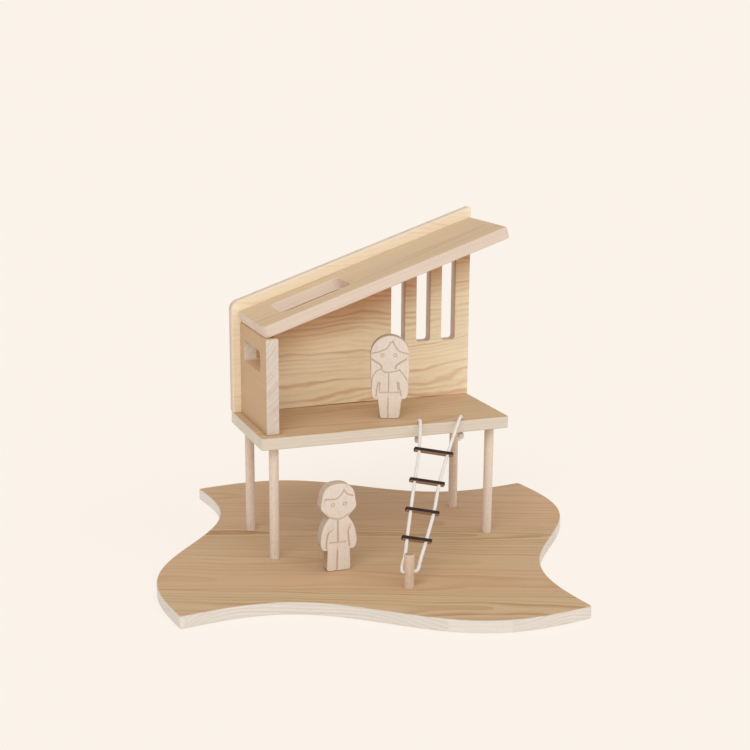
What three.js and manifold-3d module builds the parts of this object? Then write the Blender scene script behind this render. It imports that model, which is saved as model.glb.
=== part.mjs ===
// A wooden stilt house play set: a wavy-edged board, a raised floor on four dowel legs,
// two walls and a sloping roof, a rope ladder pegged to the board, and two flat figures.
// Millimetres, +Z up. The origin is at the centre of the board's underside, +X runs along
// the house's long side to its open end, and +Y runs towards the back wall.

import * as THREE from 'three';
import { mergeVertices } from 'three/addons/utils/BufferGeometryUtils.js';
import Module from 'manifold-3d';

const wasm = await Module();
wasm.setup();

// Stock that the pieces are cut from
const BOARD = 15;
const DOWEL = 12;
const PIN = 6;
const CORD = 4;
const GAP = 0.3;

// The wavy-edged base tile
const TILE_SIDE = 466;
const TILE_WAVE = 34;
const TILE_TURN = THREE.MathUtils.degToRad(-15.8);
const TILE_STEPS = 36;
const TILE_CORNER = 3;
const SOCKET = 10;

// The raised floor, whose front left corner is the house's own origin
const HOUSE = { x: -156, y: -34.5, z: BOARD };
const FLOOR_LENGTH = 330;
const FLOOR_DEPTH = 147;
const FLOOR_TOP = 159;
const FLOOR_CORNER = 5;
const STILT_INSET = { x: 20, y: 17.5 };

// Walls and roof, with heights above the floor
const SLOPE = THREE.MathUtils.degToRad(18.9);
const BACK_WALL_LEFT = 142.9;
const BACK_WALL_CORNER = { left: 9, right: 2 };
const SLOT_WIDTH = 19.5;
const SLOT_CENTRES = [227, 263.2, 299.4];
const SLOT_BOTTOM = 77.5;
const SLOT_TO_ROOF = 12;
const SLOT_CORNER = 4;
const LEFT_WALL = { x: 10.2, y: 12, thickness: 16, round: 4 };
const WINDOW = { y0: 39, y1: 112, z0: 73, z1: 99, corner: 5 };
const ROOF_LENGTH = 337;
const ROOF_START = { x: 13.7, y: 18, z: 119 };
const ROOF_CORNER = { front: 6, other: 2 };
const SKYLIGHT = { a0: 34.5, a1: 129, y0: 29, y1: 84, corner: 9 };

// The rope ladder: its plane starts at the floor's front edge and slopes down to the peg
const PEG = { x: 141, y: -129.5, height: 41, hole: 19, bore: 6.4 };
const PEG_BORE_WAY = new THREE.Vector3(11, -2.2, 0).normalize();
const LADDER_TOP = { y: -1.85, z: FLOOR_TOP + 1.7 };
const LADDER_RUN = Math.hypot(PEG.y - LADDER_TOP.y, PEG.hole - LADDER_TOP.z);
const LADDER_DOWN = {
  y: (PEG.y - LADDER_TOP.y) / LADDER_RUN,
  z: (PEG.hole - LADDER_TOP.z) / LADDER_RUN,
};
const ROPE_HOLE = { y: 11.6, diameter: 7, x: [208, 267.5] };
const RUNG = { depth: 7, thickness: 4, overhang: 6.5, corner: 1.2 };
const KNOT = { width: 9, height: 9 };

// Where the left and the right rope cross each rung: x, and the way down the ladder
const RUNGS = [
  { left: [194.7, 35.5], right: [230.5, 45.2] },
  { left: [178.3, 75.5], right: [208.5, 83.8] },
  { left: [163.3, 113.2], right: [191.2, 120.9] },
  { left: [149.3, 148.9], right: [172.2, 155.2] },
];

// The cord's centre line in the house's frame, from the left knot to the right one
const ROPE_ROUTE = [
  [208.0, 12.0, 141.5],
  [208.0, 12.0, 155.2],
  [207.8, 10.6, 159.8],
  [207.2, 6.7, 162.8],
  [206.4, 1.9, 163.4],
  [205.3, -2.2, 161.0],
  [194.7, -25.6, 134.3],
  [178.3, -52.4, 104.6],
  [163.3, -77.6, 76.6],
  [149.3, -101.5, 50.1],
  [140.3, -116.9, 32.9],
  [137.4, -120.0, 29.3],
  [134.9, -123.4, 25.2],
  [133.1, -126.4, 21.6],
  [133.3, -127.9, 19.6],
  [135.5, -128.4, 19.0],
  [146.5, -130.6, 19.0],
  [149.8, -130.8, 19.5],
  [153.0, -128.6, 21.3],
  [156.0, -124.4, 24.8],
  [172.2, -105.6, 45.5],
  [191.2, -82.7, 70.9],
  [208.5, -57.9, 98.4],
  [230.5, -32.1, 127.1],
  [258.3, -2.2, 161.0],
  [262.0, 1.9, 163.4],
  [265.0, 6.7, 162.8],
  [267.0, 10.6, 159.8],
  [267.5, 12.0, 155.2],
  [267.5, 12.0, 141.5],
];
const ROPE_STEPS = 78;

// Dowel pins: where each one's middle is, in the house's frame, and the way it points
const PIN_LENGTH = 22;
const UP = new THREE.Vector3(0, 0, 1);
const BACK = new THREE.Vector3(0, 1, 0);
const ROOF_NORMAL = new THREE.Vector3(-Math.sin(SLOPE), 0, Math.cos(SLOPE));
const WALL_FRONT = FLOOR_DEPTH - BOARD;
const FLOOR_PIN_Z = FLOOR_TOP + 2;
const WALL_PIN_Y = WALL_FRONT - 2;
const LEFT_WALL_MIDDLE = LEFT_WALL.x + LEFT_WALL.thickness / 2;

const RICH_PINE = { color: 0xd9b483, roughness: 0.62, metalness: 0 };
const PALE_PINE = { color: 0xe6c796, roughness: 0.62, metalness: 0 };
const BEECH = { color: 0xd8b596, roughness: 0.6, metalness: 0 };
const FIGURE_BEECH = { color: 0xe2c8b0, roughness: 0.65, metalness: 0 };
const PLYWOOD = { color: 0x6b4a33, roughness: 0.7, metalness: 0 };
const WHITE_CORD = { color: 0xece6dc, roughness: 0.85, metalness: 0 };

function meshOf(name, geometry, finish) {
  const mesh = new THREE.Mesh(geometry, new THREE.MeshStandardMaterial(finish));
  mesh.name = name;
  return mesh;
}

function solidOf(geometry) {
  const bare = geometry.clone();
  bare.deleteAttribute('normal');
  bare.deleteAttribute('uv');
  const merged = mergeVertices(bare, 1e-4);
  return new wasm.Manifold(new wasm.Mesh({
    numProp: 3,
    vertProperties: Float32Array.from(merged.attributes.position.array),
    triVerts: Uint32Array.from(merged.index.array),
  }));
}

function geometryOf(solid) {
  const { vertProperties, triVerts } = solid.getMesh();
  const geometry = new THREE.BufferGeometry();
  geometry.setAttribute('position', new THREE.BufferAttribute(vertProperties, 3));
  geometry.setIndex(new THREE.BufferAttribute(triVerts, 1));
  geometry.computeVertexNormals();
  return geometry;
}

// Cuts the shapes given in the same frame out of a geometry
function cut(geometry, cutters) {
  let solid = solidOf(geometry);
  for (const cutter of cutters) {
    solid = solid.subtract(solidOf(cutter));
  }
  return geometryOf(solid);
}

// A round bar whose middle is at a point, along a direction
function bar(middle, direction, diameter, length, sides = 20) {
  const geometry = new THREE.CylinderGeometry(diameter / 2, diameter / 2, length, sides);
  const turn = new THREE.Quaternion().setFromUnitVectors(BACK, direction);
  return geometry.applyQuaternion(turn).translate(middle.x, middle.y, middle.z);
}

// A closed path round a rectangle, with a corner radius for each corner from the low one
function roundedRectangle(path, x0, y0, x1, y1, radii) {
  const [a, b, c, d] = radii;
  path.moveTo(x0 + a, y0);
  path.lineTo(x1 - b, y0);
  path.absarc(x1 - b, y0 + b, b, -Math.PI / 2, 0, false);
  path.lineTo(x1, y1 - c);
  path.absarc(x1 - c, y1 - c, c, 0, Math.PI / 2, false);
  path.lineTo(x0 + d, y1);
  path.absarc(x0 + d, y1 - d, d, Math.PI / 2, Math.PI, false);
  path.lineTo(x0, y0 + a);
  path.absarc(x0 + a, y0 + a, a, Math.PI, Math.PI * 1.5, false);
  return path;
}

function roundHole(x, y, diameter) {
  const hole = new THREE.Path();
  hole.absarc(x, y, diameter / 2, 0, Math.PI * 2, false);
  return hole;
}

function slab(shape, thickness, curveSegments = 6) {
  return new THREE.ExtrudeGeometry(shape, {
    depth: thickness,
    bevelEnabled: false,
    curveSegments,
  });
}

// Height of the roof's underside above the floor, at a distance along the house
function roofUnderside(x) {
  return ROOF_START.z + (x - ROOF_START.x) * Math.tan(SLOPE);
}

// Where the legs stand, in the house's frame
function stiltPlaces() {
  const { x, y } = STILT_INSET;
  return {
    stilt_front_left: [x, y],
    stilt_front_right: [FLOOR_LENGTH - x, y],
    stilt_back_left: [x, FLOOR_DEPTH - y],
    stilt_back_right: [FLOOR_LENGTH - x, FLOOR_DEPTH - y],
  };
}

// Every hidden pin: its middle in the house's frame with heights above the base, and its way
function pinPlaces() {
  const pins = {};
  [50, 165, 280].forEach((x, i) => {
    pins[`back_wall_pin_${i + 1}`] = [new THREE.Vector3(x, FLOOR_DEPTH - BOARD / 2, FLOOR_PIN_Z), UP];
  });
  [37, 100].forEach((y, i) => {
    pins[`left_wall_pin_${i + 1}`] = [new THREE.Vector3(LEFT_WALL_MIDDLE, y, FLOOR_PIN_Z), UP];
  });
  [35, 104].forEach((z, i) => {
    pins[`corner_pin_${i + 1}`] = [new THREE.Vector3(LEFT_WALL_MIDDLE, WALL_PIN_Y, FLOOR_TOP + z), BACK];
  });
  [70, 180, 310].forEach((x, i) => {
    const z = FLOOR_TOP + roofUnderside(x) + BOARD / 2 / Math.cos(SLOPE);
    pins[`roof_back_pin_${i + 1}`] = [new THREE.Vector3(x, WALL_PIN_Y, z), BACK];
  });
  [45, 98].forEach((y, i) => {
    const x = LEFT_WALL_MIDDLE + 2;
    const foot = new THREE.Vector3(x, y, FLOOR_TOP + roofUnderside(x));
    pins[`roof_left_pin_${i + 1}`] = [foot.addScaledVector(ROOF_NORMAL, -2), ROOF_NORMAL];
  });
  return pins;
}

// One side of the tile: a full wave, inwards first, on a straight line
function tileSide(corner, along, inward) {
  const points = [];
  for (let i = 0; i < TILE_STEPS; i += 1) {
    const t = i / TILE_STEPS;
    const wave = TILE_WAVE * Math.sin(2 * Math.PI * t);
    points.push(corner.clone().addScaledVector(along, TILE_SIDE * t).addScaledVector(inward, wave));
  }
  return points;
}

function tileOutline() {
  const points = [];
  for (let side = 0; side < 4; side += 1) {
    const turn = TILE_TURN + side * Math.PI / 2;
    const along = new THREE.Vector2(Math.cos(turn), Math.sin(turn));
    const inward = new THREE.Vector2(-along.y, along.x);
    const corner = along.clone().add(inward).multiplyScalar(-TILE_SIDE / 2);
    const wave = tileSide(corner, along, inward);
    const before = corner.clone().addScaledVector(inward, TILE_CORNER);
    wave[0].copy(before.lerp(wave[0].addScaledVector(along, TILE_CORNER), 0.5));
    points.push(...wave);
  }
  return points;
}

function baseTile() {
  const geometry = slab(new THREE.Shape(tileOutline()), BOARD);
  const sockets = [...Object.values(stiltPlaces()), [PEG.x, PEG.y]].map(([x, y]) => bar(
    new THREE.Vector3(HOUSE.x + x, HOUSE.y + y, BOARD),
    UP,
    DOWEL + 2 * GAP,
    2 * SOCKET,
    24,
  ));
  return meshOf('base_tile', cut(geometry, sockets), RICH_PINE);
}

// Holes for the pins, in the house's frame, for the boards they are named after
function pinHoles(pins, ...starts) {
  return Object.entries(pins)
    .filter(([name]) => starts.some((start) => name.startsWith(start)))
    .map(([, [middle, way]]) => bar(middle, way, PIN + 2 * GAP, PIN_LENGTH + 2 * GAP, 12));
}

function stilts() {
  const top = FLOOR_TOP - BOARD + SOCKET - GAP;
  const bottom = -SOCKET + GAP;
  return Object.entries(stiltPlaces()).map(([name, [x, y]]) => {
    const middle = new THREE.Vector3(x, y, (top + bottom) / 2);
    return meshOf(name, bar(middle, UP, DOWEL, top - bottom, 24), BEECH);
  });
}

function platformFloor(pins) {
  const c = FLOOR_CORNER;
  const shape = roundedRectangle(new THREE.Shape(), 0, 0, FLOOR_LENGTH, FLOOR_DEPTH, [c, c, c, c]);
  for (const x of ROPE_HOLE.x) {
    shape.holes.push(roundHole(x, ROPE_HOLE.y, ROPE_HOLE.diameter));
  }
  const board = slab(shape, BOARD, 10).translate(0, 0, FLOOR_TOP - BOARD);
  const sockets = Object.values(stiltPlaces()).map(([x, y]) => bar(
    new THREE.Vector3(x, y, FLOOR_TOP - BOARD),
    UP,
    DOWEL + 2 * GAP,
    2 * SOCKET,
    24,
  ));
  const holes = pinHoles(pins, 'back_wall_pin', 'left_wall_pin');
  return meshOf('platform_floor', cut(board, [...sockets, ...holes]), RICH_PINE);
}

// Turns a slab drawn in X and height so that it stands up, with its back face at y
function standUp(geometry, y) {
  return geometry.rotateX(Math.PI / 2).translate(0, y, FLOOR_TOP + GAP);
}

function wallSlot(x) {
  const slot = new THREE.Path();
  const half = SLOT_WIDTH / 2;
  const top = roofUnderside(x - half) - SLOT_TO_ROOF;
  return roundedRectangle(slot, x - half, SLOT_BOTTOM, x + half, top, Array(4).fill(SLOT_CORNER));
}

function backWall(pins) {
  const rise = Math.tan(SLOPE);
  const { left, right } = BACK_WALL_CORNER;
  const rightTop = BACK_WALL_LEFT + FLOOR_LENGTH * rise;
  const shape = new THREE.Shape();
  shape.moveTo(0, 0);
  shape.lineTo(FLOOR_LENGTH, 0);
  shape.lineTo(FLOOR_LENGTH, rightTop - right);
  shape.quadraticCurveTo(FLOOR_LENGTH, rightTop, FLOOR_LENGTH - right, rightTop - right * rise);
  shape.lineTo(left, BACK_WALL_LEFT + left * rise);
  shape.quadraticCurveTo(0, BACK_WALL_LEFT, 0, BACK_WALL_LEFT - left);
  shape.lineTo(0, 0);
  shape.holes.push(...SLOT_CENTRES.map(wallSlot));
  const board = standUp(slab(shape, BOARD, 5), FLOOR_DEPTH);
  const holes = pinHoles(pins, 'back_wall_pin', 'corner_pin', 'roof_back_pin');
  return meshOf('back_wall', cut(board, holes), PALE_PINE);
}

// The end wall's section follows the roof, and its top inner edge is rounded
function leftWall(pins) {
  const { x, y, thickness, round } = LEFT_WALL;
  const inner = x + thickness;
  const shape = new THREE.Shape();
  const top = (at) => roofUnderside(at) - 2 * GAP;
  shape.moveTo(x, 0);
  shape.lineTo(inner, 0);
  shape.lineTo(inner, top(inner) - round);
  shape.quadraticCurveTo(inner, top(inner), inner - round, top(inner - round));
  shape.lineTo(x, top(x));
  const depth = WALL_FRONT - GAP - y;
  const board = standUp(slab(shape, depth, 5), WALL_FRONT - GAP);
  const { y0, z0, y1, z1, corner } = WINDOW;
  const window = roundedRectangle(new THREE.Shape(), y0, z0, y1, z1, Array(4).fill(corner));
  const opening = slab(window, 3 * thickness, 5)
    .rotateZ(Math.PI / 2)
    .rotateY(Math.PI / 2)
    .translate(x - thickness, 0, FLOOR_TOP);
  const holes = pinHoles(pins, 'left_wall_pin', 'corner_pin', 'roof_left_pin');
  return meshOf('left_wall', cut(board, [opening, ...holes]), PALE_PINE);
}

// The roof is drawn flat, with its left front corner at the origin, and then tilted
function roofPanel(pins) {
  const depth = WALL_FRONT - GAP - ROOF_START.y;
  const { front, other } = ROOF_CORNER;
  const shape = roundedRectangle(new THREE.Shape(), 0, 0, ROOF_LENGTH, depth, [front, other, other, other]);
  const { a0, a1, y0, y1, corner } = SKYLIGHT;
  shape.holes.push(roundedRectangle(new THREE.Path(), a0, y0, a1, y1, Array(4).fill(corner)));
  const board = slab(shape, BOARD, 6)
    .rotateY(-SLOPE)
    .translate(ROOF_START.x, ROOF_START.y, FLOOR_TOP + ROOF_START.z);
  return meshOf('roof_panel', cut(board, pinHoles(pins, 'roof_back_pin', 'roof_left_pin')), RICH_PINE);
}

function pinMeshes(pins) {
  return Object.entries(pins).map(([name, [middle, way]]) => (
    meshOf(name, bar(middle, way, PIN, PIN_LENGTH, 10), BEECH)
  ));
}

// A tube of round section along the cord's route
function ropeTube(diameter, sides) {
  const section = new THREE.Shape();
  section.absarc(0, 0, diameter / 2, 0, Math.PI * 2, false);
  const points = ROPE_ROUTE.map((point) => new THREE.Vector3(...point));
  const route = new THREE.CatmullRomCurve3(points, false, 'centripetal');
  return new THREE.ExtrudeGeometry(section, {
    steps: ROPE_STEPS,
    bevelEnabled: false,
    curveSegments: sides,
    extrudePath: route,
  });
}

function ladderPeg() {
  const length = PEG.height + SOCKET - GAP;
  const peg = bar(new THREE.Vector3(PEG.x, PEG.y, PEG.height - length / 2), UP, DOWEL, length, 24);
  const hole = bar(new THREE.Vector3(PEG.x, PEG.y, PEG.hole), PEG_BORE_WAY, PEG.bore, 2 * DOWEL, 16);
  return meshOf('ladder_peg', cut(peg, [hole]), BEECH);
}

// A rung is a flat strip across the ladder, drilled along the two ropes
function ladderRung(index, ropeSpace) {
  const { left, right } = RUNGS[index];
  const span = Math.hypot(right[0] - left[0], right[1] - left[1]);
  const half = span / 2 + RUNG.overhang;
  const deep = RUNG.depth / 2;
  const shape = roundedRectangle(new THREE.Shape(), -half, -deep, half, deep, Array(4).fill(RUNG.corner));
  const strip = slab(shape, RUNG.thickness, 2).translate(0, 0, -RUNG.thickness / 2);
  const down = new THREE.Vector3(0, LADDER_DOWN.y, LADDER_DOWN.z);
  const across = new THREE.Vector3(right[0] - left[0], 0, 0);
  across.addScaledVector(down, right[1] - left[1]).normalize();
  const outward = new THREE.Vector3(1, 0, 0).cross(down).normalize();
  const rise = across.clone().cross(outward);
  const way = (left[1] + right[1]) / 2;
  const place = new THREE.Matrix4().makeBasis(across, outward, rise).setPosition(
    (left[0] + right[0]) / 2,
    LADDER_TOP.y + LADDER_DOWN.y * way,
    LADDER_TOP.z + LADDER_DOWN.z * way,
  );
  return meshOf(`ladder_rung_${index + 1}`, cut(strip.applyMatrix4(place), [ropeSpace]), PLYWOOD);
}

function ropeKnot(name, x) {
  const profile = [];
  const rings = 8;
  for (let i = 0; i <= rings; i += 1) {
    const angle = Math.PI * (i / rings - 0.5);
    const radius = i % rings === 0 ? 0 : KNOT.width / 2 * Math.cos(angle);
    profile.push(new THREE.Vector2(radius, KNOT.height / 2 * Math.sin(angle)));
  }
  const knot = new THREE.LatheGeometry(profile, 12).rotateX(Math.PI / 2);
  const under = ROPE_ROUTE[0][2] - GAP - KNOT.height / 2;
  return meshOf(name, knot.translate(x, ROPE_ROUTE[0][1], under), WHITE_CORD);
}

function ladder() {
  const ropeSpace = ropeTube(CORD + 4 * GAP, 5);
  const parts = [ladderPeg(), meshOf('ladder_rope', ropeTube(CORD, 4), WHITE_CORD)];
  parts.push(ropeKnot('rope_knot_left', ROPE_HOLE.x[0]), ropeKnot('rope_knot_right', ROPE_HOLE.x[1]));
  RUNGS.forEach((_, index) => parts.push(ladderRung(index, ropeSpace)));
  return parts;
}

// Mirrors the right half of a figure's outline, drawn from the foot to the crown
function wholeOutline(half, divisions) {
  const right = half.getPoints(divisions);
  const left = right.slice(0, -1).reverse().map((point) => new THREE.Vector2(-point.x, point.y));
  return new THREE.Shape([...right, ...left]);
}

// Half outline of the figure with long straight hair, from the foot's inside to the crown
function longHairHalf() {
  const half = new THREE.Path();
  half.moveTo(9, 0);
  half.quadraticCurveTo(12, 0, 12.4, 3.5);
  half.lineTo(15.4, 25.5);
  half.lineTo(18.6, 25.5);
  half.quadraticCurveTo(22.6, 26.5, 23.4, 34);
  half.quadraticCurveTo(24, 42, 22.6, 49);
  half.quadraticCurveTo(24.4, 51, 24.5, 56);
  half.lineTo(24.5, 83);
  half.absarc(0, 83, 24.5, 0, Math.PI / 2, false);
  return half;
}

// Half outline of the figure with short hair and ears
function shortHairHalf() {
  const half = new THREE.Path();
  half.moveTo(12, 0);
  half.quadraticCurveTo(15, 0, 15.2, 4);
  half.lineTo(14.4, 26.5);
  half.lineTo(18, 26.5);
  half.quadraticCurveTo(22.6, 28, 23.2, 37);
  half.quadraticCurveTo(22.6, 56, 12, 68);
  half.lineTo(18.5, 74.5);
  half.quadraticCurveTo(25, 80, 21.4, 88);
  half.quadraticCurveTo(21, 110, 0, 110);
  return half;
}

// A figure stands with the middle of its front face at a point, turned about the vertical
function figure(name, half, x, y, z, turn) {
  const standing = slab(wholeOutline(half, 7), BOARD, 7).rotateX(Math.PI / 2).translate(0, BOARD, 0);
  const mesh = meshOf(name, standing, FIGURE_BEECH);
  mesh.rotation.z = turn;
  mesh.position.set(x, y, z);
  return mesh;
}

function stiltHouse() {
  const house = new THREE.Group();
  house.position.set(HOUSE.x, HOUSE.y, HOUSE.z);
  const pins = pinPlaces();
  house.add(...stilts(), platformFloor(pins), backWall(pins), leftWall(pins), roofPanel(pins));
  house.add(...pinMeshes(pins), ...ladder());
  const facing = THREE.MathUtils.degToRad(-19);
  house.add(figure('long_hair_figure', longHairHalf(), 180.2, 39.6, FLOOR_TOP + GAP, facing));
  house.add(figure('short_hair_figure', shortHairHalf(), 80.4, -52, GAP, 0));
  return house;
}

const group = new THREE.Group();
group.add(baseTile(), stiltHouse());

export default group;
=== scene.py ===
import math

import bmesh
import bpy
import numpy as np
from mathutils import Matrix, Vector
from mathutils.geometry import delaunay_2d_cdt


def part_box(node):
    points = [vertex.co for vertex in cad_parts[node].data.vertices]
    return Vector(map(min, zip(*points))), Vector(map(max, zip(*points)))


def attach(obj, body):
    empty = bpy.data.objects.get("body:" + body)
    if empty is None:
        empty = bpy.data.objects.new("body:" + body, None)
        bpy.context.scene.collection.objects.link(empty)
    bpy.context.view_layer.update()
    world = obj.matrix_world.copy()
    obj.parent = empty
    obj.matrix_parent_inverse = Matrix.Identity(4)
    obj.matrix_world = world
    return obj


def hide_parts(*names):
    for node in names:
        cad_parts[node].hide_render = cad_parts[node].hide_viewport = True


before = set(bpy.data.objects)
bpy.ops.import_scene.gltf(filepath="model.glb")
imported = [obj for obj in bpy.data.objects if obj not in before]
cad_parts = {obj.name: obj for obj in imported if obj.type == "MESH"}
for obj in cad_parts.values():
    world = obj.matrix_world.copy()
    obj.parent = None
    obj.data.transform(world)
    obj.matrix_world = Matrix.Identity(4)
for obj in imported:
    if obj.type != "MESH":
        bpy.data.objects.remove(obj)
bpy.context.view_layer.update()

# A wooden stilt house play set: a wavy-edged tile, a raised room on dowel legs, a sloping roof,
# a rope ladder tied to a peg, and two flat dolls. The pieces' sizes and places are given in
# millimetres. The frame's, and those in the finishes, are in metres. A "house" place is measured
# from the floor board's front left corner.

MM = 0.001
TILE_LOW, TILE_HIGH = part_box("base_tile")
FLOOR_LOW, FLOOR_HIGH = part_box("platform_floor")
HOUSE = Vector((FLOOR_LOW.x, FLOOR_LOW.y, TILE_HIGH.z))

BOARD = 15.0
DOWEL = 12.0
CORD = 4.0
KNOTTED_CORD = 3.3
SOCKET = 10.0
SOCKET_PLAY = 0.3
FLOOR_TOP = (FLOOR_HIGH.z - TILE_HIGH.z) / MM
FLOOR_LENGTH = (FLOOR_HIGH.x - FLOOR_LOW.x) / MM
FLOOR_DEPTH = (FLOOR_HIGH.y - FLOOR_LOW.y) / MM
STILT_INSET = (20.0, 17.5)
STANDING_GAP = 0.1
SANDED_ROUGHNESS = 0.6

TILE_SIDE = 466.0
TILE_WAVE = 34.0
TILE_TURN = math.radians(-15.8)
TILE_GRAIN_TURN = math.radians(-21.3)

SLOPE = math.radians(18.9)
ROOF_START = (13.7, 18.0, 119.0)
ROOF_LENGTH = 337.0
ROOF_OVERHANG = 1.2
ROOF_TO_BACK_WALL = 0.7
SKYLIGHT = (34.5, 29.0, 129.0, 84.0)
WALL_FRONT = FLOOR_DEPTH - BOARD
BACK_WALL_LEFT = 142.9
SLOT_WIDTH = 19.5
SLOT_CENTRES = (227.0, 263.2, 299.4)
SLOT_BOTTOM = 77.5
SLOT_TO_ROOF = 12.0
LEFT_WALL = {"x": 10.2, "y": 12.0, "thickness": 16.0}
WALL_TOP_FOLLOWS = 0.35
WALL_TO_ROOF = 0.35
INNER_CORNER = 4.0
WINDOW = {"low": (39.0, 73.0), "high": (112.0, 99.0)}

PEG = {"x": 141.0, "y": -129.5, "height": 41.0, "hole": 19.0, "bore": 6.4}
PEG_BORE_WAY = Vector((11.0, -2.2, 0.0)).normalized()
LADDER_TOP = (-1.85, FLOOR_TOP + 1.7)
ROPE_HOLES = ((208.0, 12.0), (267.5, 12.0))
ROPE_HOLE_MIDDLE = 11.6
ROPE_HOLE_RADIUS = 3.5
RUNG_HOLE_RADIUS = 2.55
RUNG = {"depth": 7.0, "thickness": 4.0, "overhang": 6.5, "corner": 1.2}
RUNGS = (
    ((194.7, 35.5), (230.5, 45.2)),
    ((178.3, 75.5), (208.5, 83.8)),
    ((163.3, 113.2), (191.2, 120.9)),
    ((149.3, 148.9), (172.2, 155.2)),
)
ROPE_ROUTE = (
    (208.0, 12.0, 141.5), (208.0, 12.0, 155.2), (207.8, 10.6, 159.8), (207.2, 6.7, 162.8),
    (206.4, 1.9, 163.4), (205.3, -2.2, 161.0), (194.7, -25.6, 134.3), (178.3, -52.4, 104.6),
    (163.3, -77.6, 76.6), (149.3, -101.5, 50.1), (140.3, -116.9, 32.9), (137.4, -120.0, 29.3),
    (134.9, -123.4, 25.2), (133.1, -126.4, 21.6), (133.3, -127.9, 19.6), (135.5, -128.4, 19.0),
    (146.5, -130.6, 19.0), (149.8, -130.8, 19.5), (153.0, -128.6, 21.3), (156.0, -124.4, 24.8),
    (172.2, -105.6, 45.5), (191.2, -82.7, 70.9), (208.5, -57.9, 98.4), (230.5, -32.1, 127.1),
    (258.3, -2.2, 161.0), (262.0, 1.9, 163.4), (265.0, 6.7, 162.8), (267.0, 10.6, 159.8),
    (267.5, 12.0, 155.2), (267.5, 12.0, 141.5),
)


def in_house(x, y, z):
    return HOUSE + Vector((x, y, z)) * MM


def placed(origin, along=(1, 0, 0), across=(0, 1, 0)):
    """A piece's own frame: its X runs along, its Y across, and its Z is square to both."""
    x = Vector(along).normalized()
    y = Vector(across).normalized()
    z = x.cross(y)
    matrix = Matrix((x, y, z)).transposed().to_4x4()
    matrix.translation = origin
    return matrix


def put_in_scene(name, data):
    thing = bpy.data.objects.new(name, data)
    bpy.context.scene.collection.objects.link(thing)
    return thing


# ---------------------------------------------------------------- camera


def add_camera():
    """Looks across the house from the front left, a little above it."""
    camera = bpy.data.cameras.new("viewpoint")
    camera.sensor_width = 36.0
    camera.lens = 65.52
    viewpoint = put_in_scene("viewpoint", camera)
    pitch, yaw, roll = 0.227, 0.358, 0.006
    forward = Vector((math.sin(yaw) * math.cos(pitch), math.cos(yaw) * math.cos(pitch),
                      -math.sin(pitch)))
    level = Vector((math.cos(yaw), -math.sin(yaw), 0.0))
    upright = level.cross(forward)
    right = math.cos(roll) * level + math.sin(roll) * upright
    up = -math.sin(roll) * level + math.cos(roll) * upright
    matrix = Matrix((right, up, -forward)).transposed().to_4x4()
    matrix.translation = in_house(-426.9, -1529.2, 604.7)
    viewpoint.matrix_world = matrix
    bpy.context.scene.camera = viewpoint


# ---------------------------------------------------------------- shader helpers


class Bench:
    """Lays out and joins the nodes of one material or node group."""

    def __init__(self, tree):
        self.tree = tree

    def add(self, kind, feeds=None, **settings):
        made = self.tree.nodes.new(kind)
        for key, value in settings.items():
            setattr(made, key, value)
        for key, value in (feeds or {}).items():
            if isinstance(value, bpy.types.NodeSocket):
                self.tree.links.new(value, made.inputs[key])
            else:
                made.inputs[key].default_value = value
        return made

    def join(self, value, end, socket):
        self.tree.links.new(value, end[socket])

    def mark(self, name, output="Fac"):
        """A value or place that is stored in the mesh."""
        return self.add("ShaderNodeAttribute", attribute_name=name).outputs[output]

    def raise_relief(self, shader, height, strength, distance):
        feeds = {"Height": height, "Strength": strength, "Distance": distance}
        self.join(self.add("ShaderNodeBump", feeds).outputs[0], shader.inputs, "Normal")

    def maths(self, operation, first, second=0.0, third=0.0, clamp=False):
        made = self.add("ShaderNodeMath", {0: first, 1: second, 2: third}, operation=operation)
        made.use_clamp = clamp
        return made.outputs[0]

    def plus(self, first, second):
        return self.maths("ADD", first, second)

    def less(self, first, second, clamp=False):
        return self.maths("SUBTRACT", first, second, clamp=clamp)

    def times(self, first, second):
        return self.maths("MULTIPLY", first, second)

    def scaled(self, value, by, added, clamp=False):
        return self.maths("MULTIPLY_ADD", value, by, added, clamp=clamp)

    def about(self, value):
        """A value from 0 to 1, moved to lie evenly about nothing."""
        return self.less(value, 0.5)

    def blend(self, share, first, second, way="MIX"):
        feeds = {0: share, 6: first, 7: second}
        made = self.add("ShaderNodeMix", feeds, data_type="RGBA", blend_type=way)
        return made.outputs[2]

    def ramp(self, value, low, high, to_low=0.0, to_high=1.0):
        feeds = {0: value, 1: low, 2: high, 3: to_low, 4: to_high}
        return self.add("ShaderNodeMapRange", feeds, interpolation_type="SMOOTHSTEP").outputs[0]

    def stretched(self, place, x, y, z):
        made = self.add("ShaderNodeVectorMath", {0: place, 1: (x, y, z)}, operation="MULTIPLY")
        return made.outputs[0]

    def noise(self, place, scale, detail=2.0, roughness=0.5):
        feeds = {"Vector": place, "Scale": scale, "Detail": detail, "Roughness": roughness}
        return self.add("ShaderNodeTexNoise", feeds)


KINDS = {"number": "NodeSocketFloat", "place": "NodeSocketVector"}


def new_group(name, inputs, outputs):
    """An empty node group with named inputs and outputs: its bench, input node and output node."""
    tree = bpy.data.node_groups.new(name, "ShaderNodeTree")
    for title, kind, value in inputs:
        socket = tree.interface.new_socket(title, in_out="INPUT", socket_type=KINDS[kind])
        if value is not None:
            socket.default_value = value
    for title, kind in outputs:
        tree.interface.new_socket(title, in_out="OUTPUT", socket_type=KINDS[kind])
    bench = Bench(tree)
    return bench, bench.add("NodeGroupInput").outputs, bench.add("NodeGroupOutput").inputs


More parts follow.
